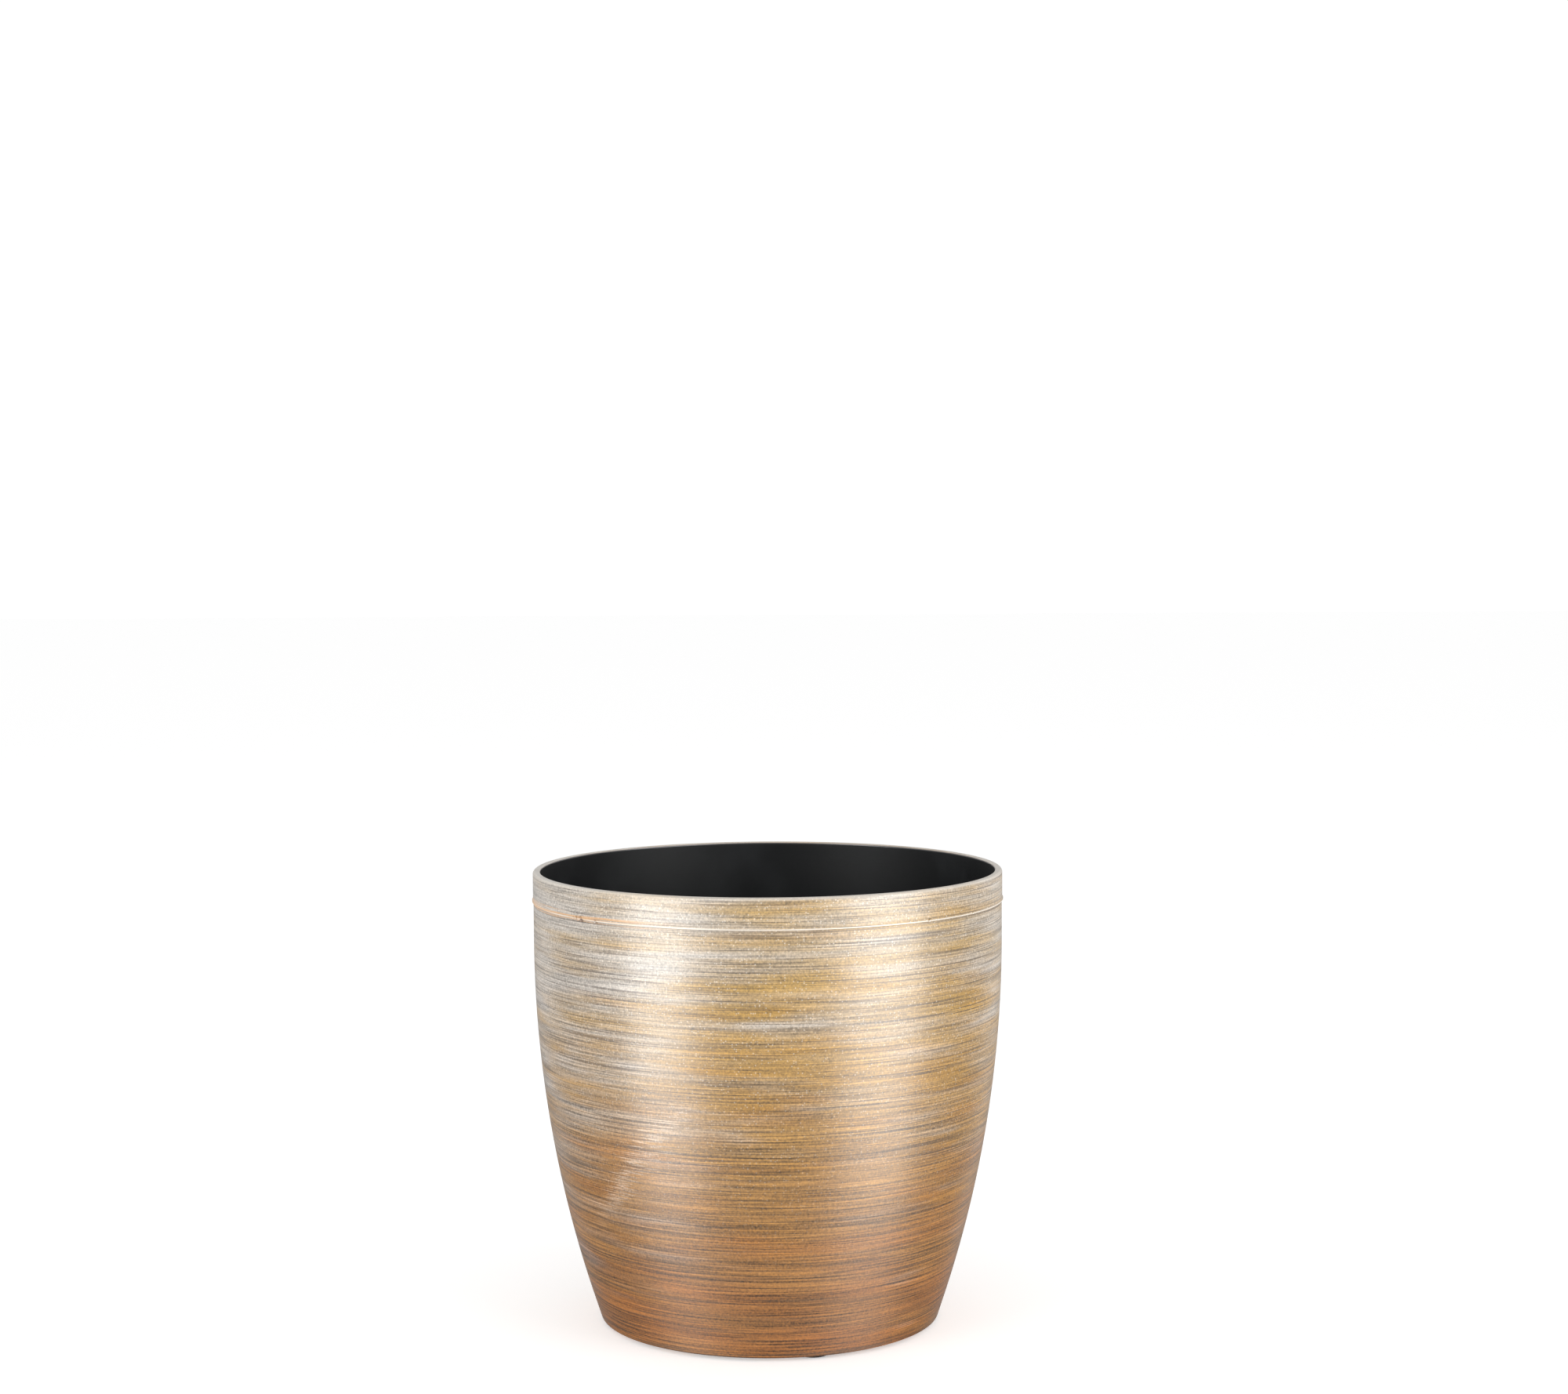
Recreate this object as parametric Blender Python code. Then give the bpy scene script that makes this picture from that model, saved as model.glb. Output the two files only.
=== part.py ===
"""A planter pot: a tapered cover pot, the grow pot that lifts out of it, and four foot pads.

Metres, +Z up. The origin is on the table, on the pot's own axis, so the pads' undersides are at z = 0.
"""

import math

import bmesh
import bpy

# ---- Cover pot: driving sizes ----
RIM_DIAMETER = 0.140  # over the plain band at the top
FOOT_DIAMETER = 0.101  # where the wall meets the underside
POT_HEIGHT = 0.1345  # from the foot to the top of the lip
STRAIGHT_HEIGHT = 0.0205  # upright part of the wall, from the lip down
WALL_THICKNESS = 0.0020
LIP_THICKNESS = 0.0022
FLOOR_THICKNESS = 0.0025
BAND_HEIGHT = 0.0082  # plain band between the lip and the ridge
BAND_STEP = 0.00015  # the band stands this far out from the wall
RIDGE_HEIGHT = 0.0010
RIDGE_PROUD = 0.00025  # the ridge stands this far out from the band
RIDGE_LOWER_FLANK = 0.0003  # height of the slope below its crest
RIDGE_UPPER_FLANK = 0.0004  # and of the slope above it
LIP_OUTER_ROUND = 0.0009
LIP_INNER_ROUND = 0.0006
FOOT_ROUND = 0.0008
FLOOR_FILLET = 0.0040
RECESS_DEPTH = 0.0012  # the underside is hollowed this deep inside the standing ring
POT_SEGMENTS = 64
WALL_ARC_STEPS = 9

# ---- Foot pads ----
PAD_COUNT = 4
PAD_FIRST_ANGLE = math.radians(-74)  # turned from +X, seen from above
PAD_DIAMETER = 0.0090
PAD_PROUD = 0.0008  # how far a pad lifts the pot off the table
PAD_POCKET_DEPTH = 0.0007
PAD_EDGE_MARGIN = 0.0013  # material left between a pocket and the foot's edge
PAD_ROUND = 0.0002
PAD_SEGMENTS = 20

# ---- Grow pot ----
GROW_BELOW_LIP = 0.0240  # the grow pot's rim sits this far under the cover pot's lip
GROW_RIM_CLEARANCE = 0.0075  # rim to the cover pot's inner wall
GROW_BASE_CLEARANCE = 0.0060  # base edge to the cover pot's inner wall
GROW_WALL = 0.0010
GROW_BASE_THICKNESS = 0.0012
GROW_RIM_OVERHANG = 0.0036  # the rim turns out this far past the wall
GROW_RIM_SKIRT = 0.0055  # and then down this far
GROW_SHOULDER_DROP = 0.0210  # the stacking shoulder is this far under the rim
GROW_SHOULDER_STEP = 0.0012
GROW_BASE_ROUND = 0.0030
GROW_SEGMENTS = 48

GROW_FOOT_COUNT = 4
GROW_FOOT_HEIGHT = 0.0045  # keeps the base out of the water that drains through it
GROW_FOOT_DIAMETER = 0.0080
GROW_FOOT_EDGE_MARGIN = 0.0050
FOOT_OVERLAP = 0.0006  # a foot runs this far into the base, so the two are one body

DRAIN_COUNT = 8
DRAIN_DIAMETER = 0.0070
CENTRE_DRAIN_DIAMETER = 0.0090
HOLE_SEGMENTS = 12

GAP = 0.0003  # left between pieces that touch

# ---- Sizes that follow from them ----
RIM_RADIUS = RIM_DIAMETER / 2
WALL_TOP_RADIUS = RIM_RADIUS - BAND_STEP
FOOT_RADIUS = FOOT_DIAMETER / 2
FOOT_Z = PAD_PROUD
LIP_Z = FOOT_Z + POT_HEIGHT
ARC_TOP_Z = LIP_Z - STRAIGHT_HEIGHT
BAND_BOTTOM_Z = LIP_Z - BAND_HEIGHT
UNDERSIDE_Z = FOOT_Z + RECESS_DEPTH
FLOOR_Z = UNDERSIDE_Z + FLOOR_THICKNESS

# The wall is one arc, upright where it starts and through the foot's edge where it ends.
ARC_RISE = ARC_TOP_Z - FOOT_Z
ARC_INSET = WALL_TOP_RADIUS - FOOT_RADIUS
ARC_RADIUS = (ARC_RISE**2 + ARC_INSET**2) / (2 * ARC_INSET)
ARC_RISE_ABOVE_ROUND = ARC_RISE - FOOT_ROUND
WALL_LEAN = math.degrees(math.asin(ARC_RISE / ARC_RADIUS))  # of the wall at the foot, from upright

PAD_RADIUS = PAD_DIAMETER / 2
POCKET_RADIUS = PAD_RADIUS + GAP
PAD_RING_RADIUS = FOOT_RADIUS - PAD_EDGE_MARGIN - POCKET_RADIUS
RECESS_RADIUS = PAD_RING_RADIUS - POCKET_RADIUS - PAD_EDGE_MARGIN


def wall_radius(z):
    """Outer radius of the cover pot's wall at this height."""
    below = max(0.0, ARC_TOP_Z - z)
    return WALL_TOP_RADIUS - ARC_RADIUS + math.sqrt(ARC_RADIUS**2 - below**2)


def inner_radius(z):
    """Radius of the cover pot's inner wall at this height."""
    return wall_radius(z) - WALL_THICKNESS


GROW_RIM_Z = LIP_Z - GROW_BELOW_LIP
GROW_FOOT_Z = FLOOR_Z + GAP
GROW_UNDERSIDE_Z = GROW_FOOT_Z + GROW_FOOT_HEIGHT
GROW_RIM_RADIUS = inner_radius(GROW_RIM_Z) - GROW_RIM_CLEARANCE
GROW_TOP_RADIUS = GROW_RIM_RADIUS - GROW_RIM_OVERHANG
GROW_BASE_RADIUS = inner_radius(GROW_UNDERSIDE_Z) - GROW_BASE_CLEARANCE
DRAIN_RING_RADIUS = GROW_BASE_RADIUS / 2


# ---- Modelling helpers ----
def make_material(name, colour, metallic, roughness):
    """A plain material in the piece's own colour."""
    material = bpy.data.materials.new(name)
    material.use_nodes = True
    shader = material.node_tree.nodes["Principled BSDF"]
    shader.inputs["Base Color"].default_value = (*colour, 1.0)
    shader.inputs["Metallic"].default_value = metallic
    shader.inputs["Roughness"].default_value = roughness
    return material


def add_object(name, bm, material, location=(0, 0, 0)):
    """Turns a bmesh into an object of the scene, shaded smooth apart from its corners."""
    mesh = bpy.data.meshes.new(name)
    bm.to_mesh(mesh)
    bm.free()
    mesh.shade_smooth()
    mesh.set_sharp_from_angle(angle=math.radians(35))
    obj = bpy.data.objects.new(name, mesh)
    obj.location = location
    if material:
        mesh.materials.append(material)
    bpy.context.scene.collection.objects.link(obj)
    return obj


def turned(profile, segments):
    """A closed body turned about Z from a profile of (radius, height) that starts and ends on the axis."""
    bm = bmesh.new()
    points = [bm.verts.new((radius, 0.0, height)) for radius, height in profile]
    edges = [bm.edges.new(pair) for pair in zip(points, points[1:])]
    bmesh.ops.spin(
        bm,
        geom=points + edges,
        cent=(0, 0, 0),
        axis=(0, 0, 1),
        angle=math.tau,
        steps=segments,
    )
    bmesh.ops.remove_doubles(bm, verts=bm.verts, dist=1e-5)
    bmesh.ops.recalc_face_normals(bm, faces=bm.faces)
    return bm


def arc(centre, radius, start, end, steps):
    """Points along an arc in the profile's plane, angles in degrees from the +radius direction."""
    points = []
    for step in range(steps + 1):
        angle = math.radians(start + (end - start) * step / steps)
        points.append((centre[0] + radius * math.cos(angle), centre[1] + radius * math.sin(angle)))
    return points


def disc(radius, low, high, segments):
    """A short closed cylinder between two heights."""
    bm = bmesh.new()
    bmesh.ops.create_cone(
        bm, cap_ends=True, segments=segments, radius1=radius, radius2=radius, depth=high - low
    )
    bmesh.ops.translate(bm, verts=bm.verts, vec=(0, 0, (low + high) / 2))
    return bm


def ring_places(count, radius, first_angle=0.0):
    """Places evenly spaced round the axis."""
    for number in range(count):
        angle = first_angle + math.tau * number / count
        yield radius * math.cos(angle), radius * math.sin(angle), 0.0


def boolean_with(obj, operation, tools, name):
    """Cuts tools from obj, or joins them to it, and keeps them out of the finished object."""
    group = bpy.data.collections.new(name)
    bpy.context.scene.collection.children.link(group)
    for tool in tools:
        bpy.context.scene.collection.objects.unlink(tool)
        group.objects.link(tool)
        tool.hide_render = True
        tool.display_type = "WIRE"
    modifier = obj.modifiers.new(name, "BOOLEAN")
    modifier.operation = operation
    modifier.solver = "EXACT"
    modifier.operand_type = "COLLECTION"
    modifier.collection = group


# ---- Cover pot ----
def cover_pot_outside():
    """The profile from the middle of the underside, out and up to the top of the lip."""
    profile = [(0.0, UNDERSIDE_Z), (RECESS_RADIUS - RECESS_DEPTH, UNDERSIDE_Z), (RECESS_RADIUS, FOOT_Z)]
    wall_starts_z = FOOT_Z + FOOT_ROUND
    foot_centre = (wall_radius(wall_starts_z) - FOOT_ROUND, wall_starts_z)
    profile += arc(foot_centre, FOOT_ROUND, -90, -WALL_LEAN, 3)
    for step in range(1, WALL_ARC_STEPS + 1):
        z = wall_starts_z + ARC_RISE_ABOVE_ROUND * step / WALL_ARC_STEPS
        profile.append((wall_radius(z), z))
    ridge_low = BAND_BOTTOM_Z - RIDGE_HEIGHT
    ridge_radius = RIM_RADIUS + RIDGE_PROUD
    profile += [
        (WALL_TOP_RADIUS, ridge_low),
        (ridge_radius, ridge_low + RIDGE_LOWER_FLANK),
        (ridge_radius, BAND_BOTTOM_Z - RIDGE_UPPER_FLANK),
        (RIM_RADIUS, BAND_BOTTOM_Z),
    ]
    lip_centre = (RIM_RADIUS - LIP_OUTER_ROUND, LIP_Z - LIP_OUTER_ROUND)
    return profile + arc(lip_centre, LIP_OUTER_ROUND, 0, 90, 4)


def cover_pot_inside():
    """The profile from the lip down the inner wall, and in along the floor to the axis."""
    lip_inside = RIM_RADIUS - LIP_THICKNESS
    lip_centre = (lip_inside + LIP_INNER_ROUND, LIP_Z - LIP_INNER_ROUND)
    profile = arc(lip_centre, LIP_INNER_ROUND, 90, 180, 3)
    last_z = FLOOR_Z + FLOOR_FILLET
    for step in range(WALL_ARC_STEPS + 1):
        z = ARC_TOP_Z + (last_z - ARC_TOP_Z) * step / WALL_ARC_STEPS
        profile.append((inner_radius(z), z))
    fillet_centre = (inner_radius(last_z) - FLOOR_FILLET, last_z)
    return profile + arc(fillet_centre, FLOOR_FILLET, -WALL_LEAN, -90, 4) + [(0.0, FLOOR_Z)]


def make_cover_pot(material):
    profile = cover_pot_outside() + cover_pot_inside()
    pot = add_object("cover_pot", turned(profile, POT_SEGMENTS), material)
    pocket_top = FOOT_Z + PAD_POCKET_DEPTH
    pockets = [
        add_object("pocket_cutter", disc(POCKET_RADIUS, 0.0, pocket_top, PAD_SEGMENTS), None, place)
        for place in ring_places(PAD_COUNT, PAD_RING_RADIUS, PAD_FIRST_ANGLE)
    ]
    boolean_with(pot, "DIFFERENCE", pockets, "pad_pockets")
    return pot


# ---- Foot pads ----
def make_foot_pads(material):
    """Each pad sits in its pocket and stands proud of the foot."""
    pad_top = FOOT_Z + PAD_POCKET_DEPTH - GAP
    profile = [
        (0.0, 0.0),
        (PAD_RADIUS - PAD_ROUND, 0.0),
        (PAD_RADIUS, PAD_ROUND),
        (PAD_RADIUS, pad_top),
        (0.0, pad_top),
    ]
    for number, place in enumerate(ring_places(PAD_COUNT, PAD_RING_RADIUS, PAD_FIRST_ANGLE), start=1):
        add_object(f"foot_pad_{number}", turned(profile, PAD_SEGMENTS), material, place)


# ---- Grow pot ----
def grow_wall_radius(z):
    """Outer radius of the grow pot's tapered wall, narrower below the stacking shoulder."""
    share = (z - GROW_UNDERSIDE_Z) / (GROW_RIM_Z - GROW_UNDERSIDE_Z)
    radius = GROW_BASE_RADIUS + (GROW_TOP_RADIUS - GROW_BASE_RADIUS) * share
    above_shoulder = z > GROW_RIM_Z - GROW_SHOULDER_DROP
    return radius if above_shoulder else radius - GROW_SHOULDER_STEP


def grow_pot_profile():
    """From the middle of the underside, out and up, over the turned-down rim, and back down the inside."""
    shoulder_z = GROW_RIM_Z - GROW_SHOULDER_DROP
    skirt_z = GROW_RIM_Z - GROW_RIM_SKIRT
    under_rim_z = GROW_RIM_Z - GROW_WALL
    base_round_z = GROW_UNDERSIDE_Z + GROW_BASE_ROUND
    base_centre = (grow_wall_radius(base_round_z) - GROW_BASE_ROUND, base_round_z)
    outside = [(0.0, GROW_UNDERSIDE_Z)]
    outside += arc(base_centre, GROW_BASE_ROUND, -90, 0, 4)
    outside += [
        (grow_wall_radius(shoulder_z), shoulder_z),
        (grow_wall_radius(shoulder_z + GROW_SHOULDER_STEP), shoulder_z + GROW_SHOULDER_STEP),
        (grow_wall_radius(under_rim_z), under_rim_z),
    ]
    rim = [
        (GROW_RIM_RADIUS - GROW_WALL, under_rim_z),
        (GROW_RIM_RADIUS - GROW_WALL, skirt_z),
        (GROW_RIM_RADIUS, skirt_z),
    ]
    rim += arc((GROW_RIM_RADIUS - GROW_WALL, under_rim_z), GROW_WALL, 0, 90, 3)
    inside_edge = GROW_TOP_RADIUS - GROW_WALL
    rim += [(inside_edge + GROW_WALL / 2, GROW_RIM_Z), (inside_edge, GROW_RIM_Z - GROW_WALL / 2)]
    floor_z = GROW_UNDERSIDE_Z + GROW_BASE_THICKNESS
    inside = [
        (grow_wall_radius(shoulder_z + GROW_SHOULDER_STEP) - GROW_WALL, shoulder_z + GROW_SHOULDER_STEP),
        (grow_wall_radius(shoulder_z) - GROW_WALL, shoulder_z),
    ]
    inner_round = GROW_BASE_ROUND - GROW_WALL
    inner_centre = (base_centre[0], floor_z + inner_round)
    inside += arc(inner_centre, inner_round, 0, -90, 4)
    return outside + rim + inside + [(0.0, floor_z)]


def make_grow_pot(material):
    pot = add_object("grow_pot", turned(grow_pot_profile(), GROW_SEGMENTS), material)
    foot_radius = GROW_FOOT_DIAMETER / 2
    foot_ring = GROW_BASE_RADIUS - GROW_SHOULDER_STEP - GROW_FOOT_EDGE_MARGIN - foot_radius
    foot_top = GROW_UNDERSIDE_Z + FOOT_OVERLAP
    feet = [
        add_object("foot_tool", disc(foot_radius, GROW_FOOT_Z, foot_top, HOLE_SEGMENTS), None, place)
        for place in ring_places(GROW_FOOT_COUNT, foot_ring, math.pi / GROW_FOOT_COUNT)
    ]
    boolean_with(pot, "UNION", feet, "grow_pot_feet")

    cut_low = GROW_UNDERSIDE_Z - GROW_BASE_THICKNESS
    cut_high = GROW_UNDERSIDE_Z + 2 * GROW_BASE_THICKNESS
    places = [(DRAIN_DIAMETER / 2, place) for place in ring_places(DRAIN_COUNT, DRAIN_RING_RADIUS)]
    places.append((CENTRE_DRAIN_DIAMETER / 2, (0.0, 0.0, 0.0)))
    drains = [
        add_object("drain_cutter", disc(radius, cut_low, cut_high, HOLE_SEGMENTS), None, place)
        for radius, place in places
    ]
    boolean_with(pot, "DIFFERENCE", drains, "drain_holes")
    return pot


def main():
    for obj in list(bpy.data.objects):
        bpy.data.objects.remove(obj)
    lacquer = make_material("brushed brass-coloured lacquer", (0.53, 0.34, 0.14), 0.85, 0.4)
    black_plastic = make_material("black polypropylene", (0.012, 0.013, 0.014), 0.0, 0.5)
    rubber = make_material("black rubber", (0.010, 0.010, 0.010), 0.0, 0.8)
    make_cover_pot(lacquer)
    make_foot_pads(rubber)
    make_grow_pot(black_plastic)


main()
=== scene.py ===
# %% [markdown]
# # A brushed lacquer planter pot
#
# The object is a cover pot: a black plastic moulding with a metallic lacquer brushed on by hand, in
# gold, copper and silver. A thin black grow pot stands inside it, and four rubber pads are under it.
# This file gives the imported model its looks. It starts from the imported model, which is the frame:
# the finished pieces take the place of the CAD nodes and have the same shapes and sizes. Only the
# tiny nubs of flash on the ridge are added to them.

# %% Load the frame
import math

import bmesh
import bpy
from mathutils import Matrix, Vector


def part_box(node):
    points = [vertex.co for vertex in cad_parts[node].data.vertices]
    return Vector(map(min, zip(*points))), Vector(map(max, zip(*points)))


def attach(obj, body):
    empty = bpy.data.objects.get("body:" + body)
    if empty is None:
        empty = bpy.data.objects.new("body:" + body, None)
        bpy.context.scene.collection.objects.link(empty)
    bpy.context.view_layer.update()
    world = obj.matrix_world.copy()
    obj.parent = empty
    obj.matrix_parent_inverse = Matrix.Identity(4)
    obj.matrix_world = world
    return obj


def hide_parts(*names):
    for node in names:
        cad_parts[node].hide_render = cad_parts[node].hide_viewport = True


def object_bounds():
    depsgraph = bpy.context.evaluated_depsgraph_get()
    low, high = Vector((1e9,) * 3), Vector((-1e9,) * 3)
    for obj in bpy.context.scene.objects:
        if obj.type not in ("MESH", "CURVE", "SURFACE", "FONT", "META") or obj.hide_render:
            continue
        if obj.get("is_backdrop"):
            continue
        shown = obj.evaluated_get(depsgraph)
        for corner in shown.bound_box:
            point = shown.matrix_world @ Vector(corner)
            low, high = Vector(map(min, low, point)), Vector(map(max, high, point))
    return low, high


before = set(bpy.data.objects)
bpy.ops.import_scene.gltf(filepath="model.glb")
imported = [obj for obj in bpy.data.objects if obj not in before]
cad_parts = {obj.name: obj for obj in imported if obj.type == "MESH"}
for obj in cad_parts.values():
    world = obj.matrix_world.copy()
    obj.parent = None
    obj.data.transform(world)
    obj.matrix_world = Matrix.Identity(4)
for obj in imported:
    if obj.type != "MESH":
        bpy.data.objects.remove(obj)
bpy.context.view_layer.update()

print("nodes in the frame:", ", ".join(sorted(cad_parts)))

# %% [markdown]
# ## Sizes
#
# A script can't read the CAD source, so the driving sizes are named again here. The outer ones come
# from the frame's boxes, so they can't drift from the model that is under them. The wall is one
# large arc: it leaves the foot leaning out, and is upright 20 mm under the lip.

# %% Sizes of the cover pot, in metres
pot_low, pot_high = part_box("cover_pot")
FOOT_Z = pot_low.z
LIP_Z = pot_high.z
RIDGE_PROUD = 0.00025
RIM_RADIUS = pot_high.x - RIDGE_PROUD
BAND_STEP = 0.00015
WALL_TOP_RADIUS = RIM_RADIUS - BAND_STEP
FOOT_RADIUS = 0.0505
STRAIGHT_HEIGHT = 0.0205
WALL = 0.0020
LIP_THICKNESS = 0.0022
BAND_HEIGHT = 0.0082
RIDGE_HEIGHT = 0.0010
RIDGE_LOWER_FLANK = 0.0003
RIDGE_UPPER_FLANK = 0.0004
LIP_OUTER_ROUND = 0.0009
LIP_INNER_ROUND = 0.0006
FOOT_ROUND = 0.0008
RECESS_DEPTH = 0.0012
RECESS_RADIUS = 0.0383
FLOOR_THICKNESS = 0.0025
FLOOR_FILLET = 0.0040
FLOOR_Z = FOOT_Z + RECESS_DEPTH + FLOOR_THICKNESS

ARC_TOP_Z = LIP_Z - STRAIGHT_HEIGHT
ARC_RISE = ARC_TOP_Z - FOOT_Z
ARC_INSET = WALL_TOP_RADIUS - FOOT_RADIUS
ARC_RADIUS = (ARC_RISE**2 + ARC_INSET**2) / (2 * ARC_INSET)
WALL_LEAN = math.degrees(math.asin(ARC_RISE / ARC_RADIUS))
BAND_BOTTOM_Z = LIP_Z - BAND_HEIGHT


def wall_radius(z):
    """Outer radius of the cover pot's wall at this height."""
    below = max(0.0, ARC_TOP_Z - z)
    return WALL_TOP_RADIUS - ARC_RADIUS + math.sqrt(ARC_RADIUS**2 - below**2)


print(f"cover pot {2000 * RIM_RADIUS:.1f} mm across, {1000 * (LIP_Z - FOOT_Z):.1f} mm high")

# %% [markdown]
# ## The camera
#
# A product shot is taken from well back with a longer lens, so the pot's sides look almost straight
# and its mouth is a thin ellipse. The camera stands a little over the lip and tips down slightly.

# %% Camera
CAMERA_DISTANCE = 0.869
CAMERA_HEIGHT = 0.2407
CAMERA_TILT = math.radians(3.63)
CAMERA_ROLL = math.radians(-0.315)
LENS_MM = 67.1
SENSOR_MM = 36.0
SIDE_SHIFT = 0.01115

camera_data = bpy.data.cameras.new("camera")
camera_data.lens = LENS_MM
camera_data.sensor_width = SENSOR_MM
camera_data.shift_x = SIDE_SHIFT
camera = bpy.data.objects.new("camera", camera_data)
place = Matrix.Translation((0, -CAMERA_DISTANCE, FOOT_Z + CAMERA_HEIGHT))
tilt = Matrix.Rotation(math.radians(90) - CAMERA_TILT, 4, "X")
camera.matrix_world = place @ tilt @ Matrix.Rotation(CAMERA_ROLL, 4, "Z")
bpy.context.scene.collection.objects.link(camera)
bpy.context.scene.camera = camera
print(f"camera {CAMERA_DISTANCE:.3f} m in front, lens {LENS_MM} mm")

# %% [markdown]
# ## Helpers for nodes
#
# Materials and Geometry Nodes trees are both made of nodes, so one function adds any node. It sets
# the node's own settings, then fills each input with a value or joins it to another node.
# Colours are picked on screen as sRGB hex, and the renderer works in linear light, so one function
# turns the first into the second.


# %% Two helpers
def add(tree, kind, inputs=None, **settings):
    """Adds a node. An input is named by its label, or by its number among those in use."""
    node = tree.nodes.new(kind)
    for name, value in settings.items():
        setattr(node, name, value)
    shown = [socket for socket in node.inputs if socket.enabled]
    for key, value in (inputs or {}).items():
        socket = shown[key] if isinstance(key, int) else next(s for s in shown if s.name == key)
        if isinstance(value, bpy.types.Node):
            value = next(s for s in value.outputs if s.enabled)
        if isinstance(value, bpy.types.NodeSocket):
            tree.links.new(value, socket)
        else:
            socket.default_value = value
    return node


def linear(hex_colour):
    """A colour such as #C8A15C, in linear light and with an alpha of 1."""
    values = [int(hex_colour[i : i + 2], 16) / 255 for i in (1, 3, 5)]
    return [v / 12.92 if v <= 0.04045 else ((v + 0.055) / 1.055) ** 2.4 for v in values] + [1.0]


print("a gold in linear light:", [round(v, 3) for v in linear("#C8A15C")])

# %% [markdown]
# ## The brushed lacquer
#
# The real finish is paint, not metal: aluminium and bronze flakes in a clear lacquer, dragged round
# the pot with a nearly dry, coarse brush over a black moulding. The eye reads four things. Long thin
# dark lines are where the bristles left the ground bare. Broad soft patches are where the brush
# carried silver or copper and not gold, and some of the silver is painted sheen. Tiny bright points
# are single flakes catching the light, which are painted as glints. The highlights are drawn out up
# the wall, because the fine grooves all run round it.
#
# All the strokes come from one idea. A noise texture that is squeezed in height and left long
# across gives streaks, and since it is solid, it runs round the pot without a seam. The stretch is
# set from a stroke's real length and width in millimetres. A layer of paint is laid where a value
# passes from one level to another, so each layer needs a colour and a list of such steps.


# %% Strokes and layers
def strokes(tree, place, length_mm, width_mm, offset, detail=2.0):
    """Streaks this long and this high, from 0 to 1, different for each offset."""
    along, across = 1000 / length_mm, 1000 / width_mm
    mapped = add(
        tree,
        "ShaderNodeMapping",
        {"Vector": place, "Location": (offset, offset, offset), "Scale": (along, along, across)},
    )
    return add(tree, "ShaderNodeTexNoise", {"Vector": mapped, "Scale": 1.0, "Detail": detail})


def weighed(tree, parts, constant=0.0):
    """The sum of each value times its weight."""
    total = constant
    for value, weight in parts:
        total = add(
            tree, "ShaderNodeMath", {0: value, 1: weight, 2: total}, operation="MULTIPLY_ADD"
        )
    return total


def where(tree, steps, most=1.0):
    """This much where every value is past its step of (value, low, high), and 0 elsewhere."""
    share = most
    for value, low, high in steps:
        passed = add(
            tree,
            "ShaderNodeMapRange",
            {"Value": value, "From Min": low, "From Max": high},
            interpolation_type="SMOOTHSTEP",
        )
        share = add(tree, "ShaderNodeMath", {0: passed, 1: share}, operation="MULTIPLY")
    return share


def laid_over(tree, under, colour, steps, most=1.0, blend="MIX"):
    """A layer of paint over what is under it. A glaze only tints it, and is laid with MULTIPLY."""
    return add(
        tree,
        "ShaderNodeMix",
        {"Factor": where(tree, steps, most), "A": under, "B": colour},
        data_type="RGBA",
        blend_type=blend,
    )


print("strokes and layers are ready")

# %% [markdown]
# The strokes come first, because every layer is made from them. A hand doesn't hold a brush dead
# level, so the strokes' height wanders by a millimetre. The broad patches and the brush lines have
# their real size. A bristle's own line is a tenth or two of a millimetre wide and a flake is well
# under a tenth, which is too fine to show. So the hair lines are drawn about twice as coarse, and
# the flakes' grain, at 0.6 mm, many times as coarse.

# %% Lacquer: where the strokes lie
WANDER = 0.0012
WANDER_SCALE = 7.0
GRAINS_PER_METRE = 1700.0

lacquer = bpy.data.materials.new("brushed_metallic_lacquer")
lacquer.use_nodes = True
coat = lacquer.node_tree
spot = add(coat, "ShaderNodeTexCoord").outputs["Object"]
split = add(coat, "ShaderNodeSeparateXYZ", {0: spot})
side, depth, height = (split.outputs[axis] for axis in "XYZ")
hand = add(coat, "ShaderNodeTexNoise", {"Vector": spot, "Scale": WANDER_SCALE, "Detail": 1.0})
wandering = weighed(coat, [(hand, WANDER)], height)
moved = add(coat, "ShaderNodeCombineXYZ", {"X": side, "Y": depth, "Z": wandering})

up = add(coat, "ShaderNodeMapRange", {"Value": height, "From Min": FOOT_Z, "From Max": LIP_Z})
low = weighed(coat, [(up, -1.0)], 1.0)
patch = strokes(coat, moved, length_mm=50, width_mm=8, offset=3.1)
lines = strokes(coat, moved, length_mm=50, width_mm=0.8, offset=7.7, detail=3.0)
fine = strokes(coat, moved, length_mm=34, width_mm=0.36, offset=12.3, detail=1.0)
hair = strokes(coat, moved, length_mm=16, width_mm=0.26, offset=21.9, detail=1.0)
grain = add(
    coat, "ShaderNodeTexNoise", {"Vector": spot, "Scale": GRAINS_PER_METRE, "Detail": 1.0}
)
print("nodes for the strokes:", len(coat.nodes))

# %% [markdown]
# The ground colour turns from a darker copper at the foot to a paler champagne gold at the lip. It is
# partly the paint's own blend of one into the other, and partly painted shade, darker towards the
# foot where the wall leans out over the table. Glazes of stronger gold and of copper then tint it in
# patches. The noise's values bunch round a half, so a step from 0.45 to 0.6 already covers about
# half of the wall.

# %% Lacquer: gold and copper
CHAMPAGNE = linear("#A8853F")
# Copper at the foot: its own colour, darkened further by painted shade.
SHADED_COPPER = linear("#8B5B23")
GOLD_GLAZE = linear("#FFF7C4")
COPPER_GLAZE = linear("#FFECCB")
GOLD_FROM, GOLD_FULL = 0.48, 0.68
COPPER_FROM, COPPER_FULL, COPPER_MOST = 0.38, 0.62, 0.8

# Copper below to champagne above, partly painted shade that darkens towards the foot.
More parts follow.
